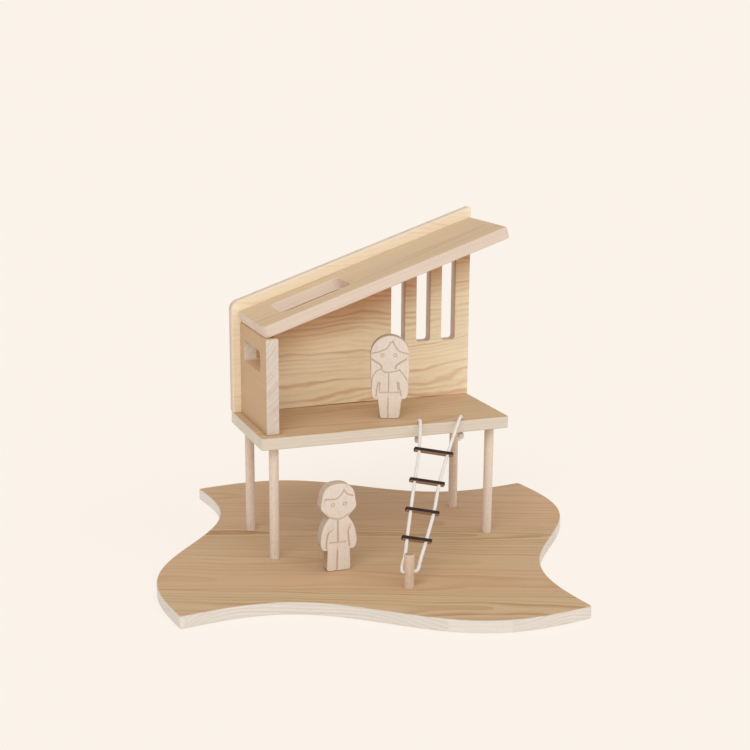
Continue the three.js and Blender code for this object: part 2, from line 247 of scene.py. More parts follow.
def growth_rings_group():
    """The rings of the log that a glued panel's staves were sawn from."""
    bench, given, out = new_group(
        "growth_rings",
        [
            ("Place", "place", None), ("Ring Width", "number", 0.004), ("Pith Across", "number", 0.03),
            ("Pith Depth", "number", 0.04), ("Lean", "number", 0.05), ("Waver", "number", 0.006),
            ("Stave Width", "number", 0.08), ("Stave Shift", "number", 0.0), ("Seed", "number", 0.0),
            ("Block Length", "number", 9.0), ("Softness", "number", 0.0),
        ],
        [("Late Wood", "number"), ("Stave Tone", "number"), ("Seam", "number"), ("Block Tone", "number")],
    )
    axes = bench.add("ShaderNodeSeparateXYZ", {0: given["Place"]}).outputs
    shifted = bench.less(axes[1], given["Stave Shift"])
    in_staves = bench.maths("DIVIDE", shifted, given["Stave Width"])
    stave = bench.maths("FLOOR", in_staves)
    part = bench.maths("FRACT", in_staves)
    chance = bench.add(
        "ShaderNodeTexWhiteNoise",
        {"W": bench.plus(stave, given["Seed"])},
        noise_dimensions="1D",
    )
    odds = bench.add("ShaderNodeSeparateColor", {0: chance.outputs["Color"]}).outputs
    middle = bench.times(bench.about(part), given["Stave Width"])

    drift = bench.scaled(odds[2], 3.0, axes[0])
    wander = bench.add("ShaderNodeCombineXYZ", {0: drift, 1: axes[1], 2: axes[2]}).outputs[0]
    slow = bench.noise(bench.stretched(wander, 3.0, 7.0, 7.0), 2.2, 1.0).outputs["Color"]
    quick = bench.noise(bench.stretched(wander, 14.0, 45.0, 45.0), 1.6, 1.0).outputs["Color"]
    slow_parts = bench.add("ShaderNodeSeparateColor", {0: slow}).outputs
    quick_parts = bench.add("ShaderNodeSeparateColor", {0: quick}).outputs

    def wandering(base, big, small):
        swing = bench.times(bench.about(big), given["Waver"])
        shiver = bench.times(bench.about(small), given["Waver"])
        return bench.plus(base, bench.scaled(shiver, 0.22, swing))

    aside = bench.times(bench.scaled(odds[0], 2.0, -1.0), given["Pith Across"])
    across = wandering(bench.plus(middle, aside), slow_parts[0], quick_parts[0])
    below = bench.times(given["Pith Depth"], bench.plus(odds[1], 0.55))
    tilted = bench.scaled(axes[0], given["Lean"], bench.plus(below, axes[2]))
    depth = wandering(tilted, slow_parts[1], quick_parts[1])
    radius = bench.maths(
        "SQRT",
        bench.plus(bench.times(across, across), bench.times(depth, depth)),
    )
    years = bench.maths("DIVIDE", radius, given["Ring Width"])
    year = bench.maths("FLOOR", years)
    season = bench.maths("FRACT", years)
    rising = bench.ramp(season, 0.25, 0.86)
    fall = bench.scaled(given["Softness"], 0.43, 0.07)
    falling = bench.maths("DIVIDE", bench.less(1.0, season), fall, clamp=True)
    harsh = bench.add("ShaderNodeTexWhiteNoise", {"W": year}, noise_dimensions="1D").outputs["Value"]
    late = bench.times(bench.times(rising, falling), bench.ramp(harsh, 0.0, 1.0, 0.15, 1.0))
    late = bench.times(late, bench.ramp(odds[1], 0.0, 1.0, 1.0, 0.45))
    blocks = bench.maths("FLOOR", bench.maths("DIVIDE", axes[0], given["Block Length"]))
    block = bench.add(
        "ShaderNodeTexWhiteNoise", {"W": bench.plus(blocks, given["Seed"])}, noise_dimensions="1D",
    )
    edge = bench.times(bench.maths("ABSOLUTE", bench.about(part)), given["Stave Width"])
    reach = bench.less(bench.times(given["Stave Width"], 0.5), edge)
    seam = bench.ramp(reach, 0.0, 0.0004, 1.0, 0.0)
    bench.join(late, out, "Late Wood")
    bench.join(odds[1], out, "Stave Tone")
    bench.join(seam, out, "Seam")
    bench.join(block.outputs["Value"], out, "Block Tone")
    return bench.tree


def fibre_group():
    """Fine fibres along the grain, with short darker flecks among them."""
    bench, given, out = new_group(
        "wood_fibres",
        [("Place", "place", None), ("Fleck Share", "number", 0.2)],
        [("Streak", "number"), ("Fleck", "number"), ("Cloud", "number")],
    )
    fine = bench.noise(bench.stretched(given["Place"], 28.0, 900.0, 900.0), 1.0, 4.0, 0.6)
    broad = bench.noise(bench.stretched(given["Place"], 7.0, 160.0, 160.0), 1.0, 2.0, 0.5)
    streak = bench.scaled(broad.outputs[0], 0.5, bench.times(fine.outputs[0], 0.5))
    short = bench.noise(bench.stretched(given["Place"], 190.0, 1500.0, 1500.0), 1.0, 1.0, 0.4)
    level = bench.scaled(given["Fleck Share"], -0.3, 0.72)
    fleck = bench.ramp(bench.less(short.outputs[0], level), 0.0, 0.08)
    cloud = bench.noise(bench.stretched(given["Place"], 5.0, 14.0, 14.0), 1.7, 2.0, 0.5)
    bench.join(streak, out, "Streak")
    bench.join(fleck, out, "Fleck")
    bench.join(cloud.outputs[0], out, "Cloud")
    return bench.tree


def eased_edge_group():
    """Where a board's edge has been sanded round and handled: a paler, smoother band."""
    bench, given, out = new_group(
        "eased_edges",
        [("Cut Edge", "number", 0.0), ("Place", "place", None)],
        [("Wear", "number")],
    )
    rest = bench.less(1.0, given["Cut Edge"])
    band = bench.times(bench.times(given["Cut Edge"], rest), 4.0)
    patchy = bench.noise(given["Place"], 60.0, 3.0, 0.6)
    wear = bench.times(band, bench.ramp(patchy.outputs[0], 0.3, 0.7, 0.35, 1.0))
    bench.join(wear, out, "Wear")
    return bench.tree


GROWTH_RINGS = growth_rings_group()
WOOD_FIBRES = fibre_group()
EASED_EDGES = eased_edge_group()


def new_material(name):
    material = bpy.data.materials.new(name)
    material.use_nodes = True
    material.node_tree.nodes.clear()
    bench = Bench(material.node_tree)
    shader = bench.add("ShaderNodeBsdfPrincipled")
    end = bench.add("ShaderNodeOutputMaterial")
    bench.join(shader.outputs[0], end.inputs, 0)
    return material, bench, shader


def surface_groups(bench, place, cut_edge, flecks):
    """What the fibre and the eased edge groups give for one wood."""
    feeds = {"Place": place, "Fleck Share": flecks}
    fibres = bench.add("ShaderNodeGroup", feeds, node_tree=WOOD_FIBRES)
    feeds = {"Place": place, "Cut Edge": cut_edge}
    edges = bench.add("ShaderNodeGroup", feeds, node_tree=EASED_EDGES)
    return fibres.outputs, edges.outputs


def rgb(red, green, blue):
    """A colour given as it looks on a screen, from 0 to 255, turned into light."""
    def light(value):
        share = value / 255.0
        return share / 12.92 if share <= 0.04045 else ((share + 0.055) / 1.055) ** 2.4
    return (light(red), light(green), light(blue), 1.0)


def timber(name, pale, late, cut, cut_late, rings, ring_strength=1.0, streak=0.25, flecks=0.2,
           tone=0.12, from_mesh=True, groove=None, seam=0.25, plain=None, blocks=0.0,
           painted_roof_shade_and_light=None):
    """Sawn and sanded wood. rings holds the growth ring group's values.

    The last argument paints shade onto a wall's inner face below a sloping line, where the roof shades
    it, and paints light onto the face above that line. It holds the line's start and rise, how far down
    the painted shade reaches, and the two colours.
    """
    material, bench, shader = new_material(name)
    if from_mesh:
        place = bench.mark("grain_place", "Vector")
        cut_edge = bench.mark("cut_edge")
    else:
        place = bench.add("ShaderNodeTexCoord").outputs["Object"]
        cut_edge = 0.0
    grown = bench.add("ShaderNodeGroup", {"Place": place, **rings}, node_tree=GROWTH_RINGS).outputs
    fibres, edges = surface_groups(bench, place, cut_edge, flecks)

    fading = bench.ramp(fibres["Cloud"], 0.36, 0.62, 0.5 * ring_strength, ring_strength)
    ring_share = bench.times(grown["Late Wood"], fading)
    ground = pale
    if plain:
        ground = bench.blend(bench.ramp(grown["Stave Tone"], 0.3, 0.9), pale, plain)
    face = bench.blend(ring_share, ground, late)
    sawn = bench.blend(ring_share, cut, cut_late)
    worn_cut = bench.less(cut_edge, bench.times(edges["Wear"], 0.1), clamp=True)
    wood = bench.blend(worn_cut, face, sawn)

    shade = bench.scaled(bench.about(grown["Stave Tone"]), tone, 1.0)
    shade = bench.scaled(
        bench.about(fibres["Streak"]), streak, shade)
    shade = bench.scaled(bench.about(fibres["Cloud"]), 0.14, shade)
    shade = bench.scaled(fibres["Fleck"], -0.12 if flecks else 0.0, shade)
    face_share = bench.scaled(cut_edge, -0.9, 1.0)
    shade = bench.scaled(bench.times(grown["Seam"], face_share), -seam, shade)
    if blocks:
        shade = bench.scaled(bench.about(grown["Block Tone"]), blocks, shade)
    shade = bench.scaled(edges["Wear"], 0.05, shade)
    grey = bench.add("ShaderNodeCombineColor", {0: shade, 1: shade, 2: shade}).outputs[0]
    colour = bench.blend(1.0, wood, grey, "MULTIPLY")
    # Painted shade: the engraved lines are coloured darker, where shade falls in the grooves.
    if groove:
        depth = bench.mark("engraved")
        colour = bench.blend(depth, colour, groove)
    # Painted shade below the roof's line and painted light above it, on the wall's inner face.
    if painted_roof_shade_and_light:
        start, rise, reach, painted_shade, painted_light = painted_roof_shade_and_light
        axes = bench.add("ShaderNodeSeparateXYZ", {0: place}).outputs
        line = bench.scaled(axes[0], rise, start)
        ragged = bench.scaled(fibres["Cloud"], 0.03, -0.015)
        below = bench.less(line, bench.plus(axes[1], ragged))
        indoors = bench.times(bench.ramp(below, -0.016, -0.004), bench.ramp(axes[0], 0.011, 0.015))
        inner_face = bench.ramp(axes[2], 0.006, 0.014)
        under = bench.times(indoors, bench.ramp(below, 0.3 * reach, reach, 1.0, 0.0))
        under = bench.times(under, inner_face)
        # Painted shade: the face is darkened below the roof line, where the roof shades it.
        colour = bench.blend(under, colour, bench.blend(1.0, colour, painted_shade, "MULTIPLY"))
        # Painted light: the face above the roof line is made paler, where it stands in open light.
        painted_light_share = bench.times(bench.less(1.0, indoors), inner_face)
        colour = bench.blend(bench.times(painted_light_share, 0.6), colour, painted_light)
    bench.join(colour, shader.inputs, "Base Color")

    rough = bench.scaled(fibres["Streak"], 0.16, SANDED_ROUGHNESS - 0.08)
    rough = bench.scaled(edges["Wear"], -0.06, rough, clamp=True)
    bench.join(rough, shader.inputs, "Roughness")
    relief = bench.scaled(grown["Late Wood"], 0.35, fibres["Streak"])
    relief = bench.scaled(fibres["Fleck"], -0.4, relief)
    bench.raise_relief(shader, relief, 0.5, 0.00025)
    shader.inputs["Specular IOR Level"].default_value = 0.35
    return material


def ring_values(width, across, depth, lean, waver, stave, shift, seed, block=9.0, soft=0.0):
    return {
        "Ring Width": width, "Pith Across": across, "Pith Depth": depth, "Lean": lean,
        "Waver": waver, "Stave Width": stave, "Stave Shift": shift, "Seed": seed,
        "Block Length": block, "Softness": soft,
    }


TILE_PINE = timber(
    "tile_pine", rgb(206, 176, 138), rgb(174, 132, 88), rgb(230, 223, 215), rgb(216, 205, 193),
    ring_values(0.0042, 0.03, 0.030, 0.02, 0.010, stave=0.0775, shift=-0.019, seed=2678.0),
    ring_strength=1.0, streak=0.2, tone=0.06, plain=rgb(202, 167, 131), seam=0.2,
)
FLOOR_PINE = timber(
    "floor_pine", rgb(210, 180, 144), rgb(186, 150, 108), rgb(230, 219, 203), rgb(220, 206, 187),
    ring_values(0.0036, 0.03, 0.045, 0.015, 0.008, stave=0.07, shift=-0.02, seed=11.0),
    ring_strength=0.75, streak=0.22,
)
ROOF_PINE = timber(
    "roof_pine", rgb(217, 190, 154), rgb(198, 165, 124), rgb(235, 216, 200), rgb(222, 201, 182),
    ring_values(0.0030, 0.05, 0.060, 0.01, 0.006, stave=0.06, shift=-0.01, seed=23.0),
    ring_strength=0.7, streak=0.24,
)
WALL_PINE = timber(
    "wall_pine", rgb(255, 238, 206), rgb(203, 144, 87), rgb(222, 202, 184), rgb(206, 182, 158),
    ring_values(0.0056, -0.045, 0.09, -0.08, 0.034, stave=1.0, shift=-0.5, seed=20.0,
                block=0.036, soft=0.75),
    ring_strength=1.0, streak=0.42, tone=0.0, seam=0.0, blocks=0.06,
    # Painted shade under the roof, and painted light on the strip above it.
    painted_roof_shade_and_light=(0.1143, math.tan(SLOPE), 0.095, rgb(203, 171, 147), rgb(255, 241, 218)),
)
END_WALL_PINE = timber(
    "end_wall_pine", rgb(209, 175, 137), rgb(196, 161, 122), rgb(230, 217, 204), rgb(147, 118, 95),
    ring_values(0.00125, -0.268, 0.190, 0.0, 0.005, stave=1.0, shift=-0.5, seed=774.0),
    ring_strength=1.0, streak=0.36, tone=0.0, seam=0.0,
)
DOWEL_BEECH = timber(
    "dowel_beech", rgb(240, 224, 208), rgb(227, 206, 185), rgb(206, 184, 164), rgb(186, 160, 136),
    ring_values(0.0022, 0.0, 0.012, 0.004, 0.003, stave=0.5, shift=-0.25, seed=2.0),
    ring_strength=0.6, streak=0.16, flecks=0.7, seam=0.0,
)
# A darker copy of the dowel beech: painted shade for the peg, which stands in the ladder's shade.
PEG_BEECH_PAINTED_SHADE = timber(
    "peg_beech_painted_shade", rgb(228, 204, 181), rgb(212, 184, 158), rgb(184, 156, 132), rgb(168, 138, 112),
    ring_values(0.0022, 0.0, 0.012, 0.004, 0.003, stave=0.5, shift=-0.25, seed=3.0),
    ring_strength=0.6, streak=0.18, flecks=0.7, seam=0.0,
)
FIGURE_BEECH = timber(
    "figure_beech", rgb(241, 227, 214), rgb(234, 217, 201), rgb(205, 186, 168), rgb(188, 164, 144),
    ring_values(0.0028, 0.0, 0.020, 0.01, 0.004, stave=0.5, shift=-0.25, seed=7.0),
    # The groove colour is painted shade for the engraved lines.
    ring_strength=0.35, streak=0.12, flecks=0.45, seam=0.0, groove=rgb(190, 165, 146),
)
PIN_BEECH = timber(
    "pin_beech", rgb(240, 224, 208), rgb(227, 206, 185), rgb(218, 200, 182), rgb(200, 178, 156),
    ring_values(0.0022, 0.0, 0.012, 0.004, 0.003, stave=2.0, shift=-1.0, seed=5.0),
    ring_strength=0.4, streak=0.16, flecks=0.7, seam=0.0, from_mesh=False,
)


def rung_plywood():
    """Laser-cut plywood: brown faces, and edges burnt nearly black with the plies just showing."""
    material, bench, shader = new_material("rung_plywood")
    place = bench.mark("grain_place", "Vector")
    cut_edge = bench.mark("cut_edge")
    fibres, edges = surface_groups(bench, place, cut_edge, 0.3)
    face = bench.blend(fibres["Streak"], rgb(150, 116, 92), rgb(186, 152, 124))
    height = bench.add("ShaderNodeSeparateXYZ", {0: place}).outputs[2]
    plies = bench.maths("SINE", bench.times(height, 2 * math.pi / 0.00135))
    ply_share = bench.ramp(plies, -0.2, 0.9, 0.0, 0.35)
    soot = bench.blend(ply_share, rgb(36, 29, 26), rgb(66, 50, 40))
    smudge = bench.noise(place, 240.0, 3.0, 0.6).outputs[0]
    soot = bench.blend(bench.ramp(smudge, 0.35, 0.75, 0.0, 0.5), soot, rgb(58, 52, 50))
    burnt = bench.ramp(cut_edge, 0.0, 0.5)
    colour = bench.blend(burnt, face, soot)
    bench.join(colour, shader.inputs, "Base Color")
    rough = bench.scaled(edges["Wear"], -0.1, 0.78)
    bench.join(rough, shader.inputs, "Roughness")
    relief = bench.plus(fibres["Streak"], bench.times(smudge, 0.5))
    bench.raise_relief(shader, relief, 0.6, 0.0002)
    shader.inputs["Specular IOR Level"].default_value = 0.25
    return material


def white_cord():
    """Braided cotton: the hollows between strands are painted a little darker as painted shade, and the
    yarn is fuzzy.
    """
    material, bench, shader = new_material("white_cord")
    place = bench.mark("grain_place", "Vector")
    strand = bench.mark("strand")
    yarn = bench.noise(bench.stretched(place, 1.0, 2.5, 2.5), 2600.0, 2.0, 0.6).outputs[0]
    soil = bench.noise(place, 90.0, 2.0, 0.5).outputs[0]
    # Painted shade: the hollows between the strands' crowns are coloured darker.
    colour = bench.blend(bench.ramp(strand, 0.05, 0.65), rgb(200, 193, 185), rgb(245, 241, 237))
    colour = bench.blend(bench.ramp(yarn, 0.35, 0.8, 0.0, 0.3), colour, rgb(226, 221, 215))
    colour = bench.blend(bench.ramp(soil, 0.42, 0.75, 0.0, 0.35), colour, rgb(212, 206, 198))
    bench.join(colour, shader.inputs, "Base Color")
    rough = bench.scaled(yarn, 0.15, 0.78)
    bench.join(rough, shader.inputs, "Roughness")
    bench.raise_relief(shader, yarn, 0.6, 0.0002)
    shader.inputs["Sheen Weight"].default_value = 0.25
    shader.inputs["Sheen Roughness"].default_value = 0.5
    return material


RUNG_PLYWOOD = rung_plywood()
WHITE_CORD = white_cord()


# ---------------------------------------------------------------- outlines


def cornered(corners, steps=5):
    """A closed outline through (x, y, radius) corners, anticlockwise, with each corner rounded."""
    points = []
    count = len(corners)
    for i, (x, y, radius) in enumerate(corners):
        here = np.array((x, y))
        before = np.array(corners[i - 1][:2]) - here
        after = np.array(corners[(i + 1) % count][:2]) - here
        before /= np.linalg.norm(before)
        after /= np.linalg.norm(after)
        half = math.acos(float(np.clip(before @ after, -1, 1))) / 2
        if radius <= 0:
            points.append(here)
            continue
        reach = radius / math.tan(half)
        middle = here + (before + after) / np.linalg.norm(before + after) * radius / math.sin(half)
        start = here + before * reach - middle
        end = here + after * reach - middle
        turn = math.atan2(start[0] * end[1] - start[1] * end[0], float(start @ end))
        for step in range(steps + 1):
            angle = turn * step / steps
            c, s = math.cos(angle), math.sin(angle)
            swung = (c * start[0] - s * start[1], s * start[0] + c * start[1])
            points.append(middle + np.array(swung))
    return np.array(points)


def box_outline(x0, y0, x1, y1, radii, steps=5):
    a, b, c, d = radii
    return cornered([(x0, y0, a), (x1, y0, b), (x1, y1, c), (x0, y1, d)], steps)


def ring_outline(x, y, radius, count=28):
    angles = np.linspace(0, 2 * math.pi, count, endpoint=False)
    return np.stack([x + radius * np.cos(angles), y + radius * np.sin(angles)], 1)


def bend(start, control, end, steps=8):
    """Points along a smooth bend, without its first one."""
    share = np.linspace(0, 1, steps + 1)[1:, None]
    start, control, end = (np.array(p, float) for p in (start, control, end))
    return list((1 - share) ** 2 * start + 2 * share * (1 - share) * control + share ** 2 * end)


def smooth_line(points, spacing=0.6):
    """A soft curve through points, for an engraved line."""
    points = np.array(points, float)
    if len(points) == 2:
        count = max(2, int(np.linalg.norm(points[1] - points[0]) / spacing))
        share = np.linspace(0, 1, count + 1)[:, None]
        return points[0] * (1 - share) + points[1] * share
    return catmull(points, spacing)


def between(t, low, high, first, second):
    """A share of two places: the first where t is low, the second where t is high."""
    return (high - t) / (high - low) * first + (t - low) / (high - low) * second


def travelled(line):
    """How far along a line each of its points lies."""
    return np.concatenate([[0.0], np.cumsum(np.linalg.norm(np.diff(line, axis=0), axis=1))])


def catmull(points, spacing):
    """A centripetal curve through points in any number of directions, evenly respaced."""
    points = np.array(points, float)
    chain = np.concatenate([[2 * points[0] - points[1]], points, [2 * points[-1] - points[-2]]])
    fine = []
    for i in range(1, len(chain) - 2):
        p = chain[i - 1:i + 3]
        spans = np.maximum(np.linalg.norm(np.diff(p, axis=0), axis=1), 1e-6) ** 0.5
        knots = np.concatenate([[0.0], np.cumsum(spans)])
        t = np.linspace(knots[1], knots[2], 24, endpoint=False)[:, None]
        a = [between(t, knots[k], knots[k + 1], p[k], p[k + 1]) for k in range(3)]
        b = [between(t, knots[k], knots[k + 2], a[k], a[k + 1]) for k in range(2)]
        fine.append(between(t, knots[1], knots[2], b[0], b[1]))
    fine = np.concatenate(fine + [points[-1:]])
    gone = travelled(fine)
    count = max(2, int(round(gone[-1] / spacing)))
    marks = np.linspace(0, gone[-1], count + 1)
    return np.stack([np.interp(marks, gone, fine[:, k]) for k in range(fine.shape[1])], 1)


# ---------------------------------------------------------------- meshes


def finished(name, points, faces, normals, attributes, material, body, place, replaces,
             sharp=None):
    """Makes a piece of points in millimetres, gives it its marks and finish, and mounts it."""
    mesh = bpy.data.meshes.new(name)
    mesh.from_pydata([tuple(p) for p in np.asarray(points, float) * MM], [], faces)
    for title, values in attributes.items():
        values = np.asarray(values, np.float32)
        kind = "FLOAT_VECTOR" if values.ndim == 2 else "FLOAT"
        layer = mesh.attributes.new(title, kind, "POINT")
        layer.data.foreach_set("vector" if values.ndim == 2 else "value", values.ravel())
    mesh.polygons.foreach_set("use_smooth", [True] * len(mesh.polygons))
    mesh.update()
    if normals is not None:
        mesh.normals_split_custom_set_from_vertices([tuple(n) for n in normals])
    elif sharp is not None:
        mesh.set_sharp_from_angle(angle=math.radians(sharp))
    piece = put_in_scene(name, mesh)
    piece.data.materials.append(material)
    piece.matrix_world = place
    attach(piece, body)
    if replaces:
        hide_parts(*replaces)
    return piece


def outward(loop):
    """At each point of a loop, the way out of the wood, and that way lengthened at corners."""
    into = loop - np.roll(loop, 1, 0)
    away = np.roll(loop, -1, 0) - loop
    into /= np.linalg.norm(into, axis=1)[:, None]
    away /= np.linalg.norm(away, axis=1)[:, None]
    side_in = np.stack([into[:, 1], -into[:, 0]], 1)
    side_out = np.stack([away[:, 1], -away[:, 0]], 1)
    way = side_in + side_out
    way /= np.linalg.norm(way, axis=1)[:, None]
    stretch = 1 / np.maximum((way * side_in).sum(1), 0.6)
    return way, way * stretch[:, None]


def inside(points, loop):
    """Which points are within a closed loop."""
    x, y = points[:, 0], points[:, 1]
    within = np.zeros(len(points), bool)
    for (ax, ay), (bx, by) in zip(loop, np.roll(loop, -1, 0)):
        crosses = (ay > y) != (by > y)
        if by != ay:
            within ^= crosses & (x < (bx - ax) * (y - ay) / (by - ay) + ax)
    return within


def filled(loops, extra=None):
    """Triangles over the first loop less the others, through any extra points."""
    flat = np.concatenate(loops + ([extra] if extra is not None and len(extra) else []))
    rims, start = [], 0
    for loop in loops:
        count = len(loop)
        rims += [(start + i, start + (i + 1) % count) for i in range(count)]
        start += count
    found = delaunay_2d_cdt([Vector(p) for p in flat], rims, [], 1, 1e-5)
    corners = [origins[0] if origins else None for origins in found[3]]
    triangles = [tuple(corners[i] for i in face) for face in found[2]]
    triangles = [t for t in triangles if None not in t]
    middles = np.array([flat[list(t)].mean(0) for t in triangles])
    keep = inside(middles, loops[0])
    for loop in loops[1:]:
        keep &= ~inside(middles, loop)
    kept = []
    for triangle, good in zip(triangles, keep):
        if good:
            a, b, c = flat[list(triangle)]
            area = (b[0] - a[0]) * (c[1] - a[1]) - (b[1] - a[1]) * (c[0] - a[0])
            kept.append(triangle if area > 0 else triangle[::-1])
    return kept


def groove_depth(points, grooves):
    """How deep each point of an engraved face lies, and how far into a groove it is, 0 to 1."""
    depth = np.zeros(len(points))
    mark = np.zeros(len(points))
    for line, half_width, deep in grooves:
        nearest = np.full(len(points), 1e9)
        for a, b in zip(line[:-1], line[1:]):
            run = b - a
            share = np.clip(((points - a) @ run) / max(float(run @ run), 1e-12), 0, 1)
            nearest = np.minimum(nearest, np.linalg.norm(points - a - share[:, None] * run, axis=1))
        share = np.clip(nearest / half_width, 0, 1)
        depth = np.maximum(depth, deep * np.cos(share * math.pi / 2) ** 2)
        mark = np.maximum(mark, np.clip(1.15 - nearest / half_width, 0, 1) * min(1.0, deep / 0.5))
    return depth, mark


def groove_points(grooves, rim):
    """Points in rows along and beside each groove, thinned out, inside the face's rim."""
    rows = []
    for line, half_width, _ in grooves:
        run = np.gradient(line, axis=0)
        run /= np.maximum(np.linalg.norm(run, axis=1), 1e-9)[:, None]
        side = np.stack([-run[:, 1], run[:, 0]], 1)
        for share in (0.0, 0.45, -0.45, 1.0, -1.0, 1.7, -1.7):
            rows.append(line + side * half_width * share)
    points = np.concatenate(rows)
    points = points[inside(points, rim)]
    clear = np.full(len(points), 1e9)
    for a in rim:
        clear = np.minimum(clear, np.linalg.norm(points - a, axis=1))
    points = points[clear > 0.35]
    taken, kept = set(), []
    for p in points:
        cell = (int(p[0] / 0.22), int(p[1] / 0.22))
        if not any((cell[0] + i, cell[1] + j) in taken for i in (-1, 0, 1) for j in (-1, 0, 1)):
            taken.add(cell)
            kept.append(p)
    return np.array(kept)


def band(low, high, count):
    """The faces between two rings of points, one above the other."""
    following = [(i + 1) % count for i in range(count)]
    return [(low + i, low + j, high + j, high + i) for i, j in enumerate(following)]


def tube(rings, sides):
    """The faces of a closed tube whose rings of points follow one another."""
    last = (rings - 1) * sides
    faces = [face for low in range(0, last, sides) for face in band(low, low + sides, sides)]
    return faces + [tuple(reversed(range(sides))), tuple(range(last, last + sides))]


def quarter_round(ease, steps):
    """Each step of a rounded edge: how far in from the side and the end it lies, and its turn."""
    turns = [math.pi / 2 * step / steps for step in range(steps + 1)]
    return [(ease * (1 - math.cos(turn)), ease * (1 - math.sin(turn)), turn) for turn in turns]


def through(loop):
    """A hole right through a board, straight and with square sides."""
    return loop, None, (0.0, 0.0)


def eased_board(name, outline, thickness, ease, material, body, place, replaces,
                holes=(), grooves=(), grain_turn=0.0, reshape=None, steps=4, long_grain_sides=False):
    """A board with softly sanded edges. Each hole is (loop, depth or None, lean across the board).

    Where long_grain_sides is set, only the edges that cut across the grain show end grain.
    """
    points, normals, cuts, faces = [], [], [], []
    under, over = [], []

    def add_ring(flat, z, ways, tilt, cut):
        start = len(points)
        for p, way in zip(flat, ways):
            points.append((p[0], p[1], z))
            side = math.cos(tilt)
            normals.append((way[0] * side, way[1] * side, math.sin(tilt)))
            cuts.append(cut * way[0] ** 2 if long_grain_sides else cut)
        return start

    loops = [through(np.array(outline))]
    loops += [(np.array(loop)[::-1], depth, lean) for loop, depth, lean in holes]
    for loop, depth, lean in loops:
        ways, mitred = outward(loop)
        lean = np.array(lean)
        upper = quarter_round(ease, steps)
        if depth is None:
            stack = [(inset, end, -turn) for inset, end, turn in reversed(upper)]
        else:
            stack = [(0.0, thickness - depth, 0.0)]
        stack += [(inset, thickness - end, turn) for inset, end, turn in upper]
        rings = []
        for inset, z, tilt in stack:
            flat = loop - mitred * inset + lean * (z - thickness / 2)
            rings.append(add_ring(flat, z, ways, tilt, 1 - (abs(tilt) / (math.pi / 2)) ** 1.5))
        count = len(loop)
        for low, high in zip(rings[:-1], rings[1:]):
            faces += band(low, high, count)
        if depth is None:
            under.append((rings[0], count))
        else:
            hub = len(points)
            points.append((*loop.mean(0), thickness - depth))
            normals.append((0, 0, 1))
            cuts.append(1.0)
            faces += [(rings[0] + (i + 1) % count, rings[0] + i, hub) for i in range(count)]
        over.append((rings[-1], count))

    def cap(rims, top):
        flat = np.array(points)[:, :2]
        rings = [flat[start:start + count] for start, count in rims]
        index = [start + i for start, count in rims for i in range(count)]
        extra = None
        if top and grooves:
            extra = groove_points(grooves, rings[0])
            for p in extra:
                index.append(len(points))
                points.append((p[0], p[1], thickness))
                normals.append((0, 0, 1))
                cuts.append(0.0)
        for triangle in filled(rings, extra):
            face = tuple(index[i] for i in triangle)
            faces.append(face if top else face[::-1])

    cap(under, False)
    cap(over, True)

    points = np.array(points, float)
    normals = np.array(normals, float)
    marks = np.zeros(len(points))
    if grooves:
        face = (points[:, 2] > thickness - 1e-6)
        flat = points[face][:, :2]
        depth, marks[face] = groove_depth(flat, grooves)
        tiny = 0.03
        slopes = []
        for step in ((tiny, 0), (0, tiny)):
            ahead = groove_depth(flat + np.array(step), grooves)[0]
            behind = groove_depth(flat - np.array(step), grooves)[0]
            slopes.append((ahead - behind) / (2 * tiny))
        points[face, 2] -= depth
        facing = np.stack([*slopes, np.ones(len(flat))], 1)
        normals[face] = facing / np.linalg.norm(facing, axis=1)[:, None]
    turned = points.copy()
    c, s = math.cos(-grain_turn), math.sin(-grain_turn)
    turned[:, 0] = c * points[:, 0] - s * points[:, 1]
    turned[:, 1] = s * points[:, 0] + c * points[:, 1]
    if reshape:
        points = reshape(points)
    attributes = {"grain_place": turned * MM, "cut_edge": cuts, "engraved": marks}
    return finished(name, points, faces, normals, attributes, material, body, place, replaces)


def turned_dowel(name, length, foot, material, replaces, bore=None):
    """A round dowel standing on its foot, with its two ends sanded round."""
    radius, sides = DOWEL / 2, 40
    end = quarter_round(0.8, 4)
    profile = [(radius - inset, z) for inset, z, _ in reversed(end)]
    for share in (0.25, 0.5, 0.75):
        profile.append((radius + 0.03 * math.sin(9 * share), length * share))
    profile += [(radius - inset, length - z) for inset, z, _ in end]
    points, cuts = [], []
    for r, z in profile:
        for i in range(sides):
            angle = 2 * math.pi * i / sides
            points.append((r * math.cos(angle), r * math.sin(angle), z))
            cuts.append(1.0 if z in (0.0, length) else 0.0)
    faces = tube(len(profile), sides)
    points = np.array(points)
    along_grain = np.stack([points[:, 2], points[:, 0], points[:, 1]], 1) + (foot[0] * 0.7, 0, 0)
    attributes = {"grain_place": along_grain * MM, "cut_edge": cuts}
    place = placed(in_house(*foot))
    piece = finished(name, points, faces, None, attributes, material, "house", place,
                     replaces, sharp=40)
    if bore:
        drill_across(piece, material, *bore)
    return piece


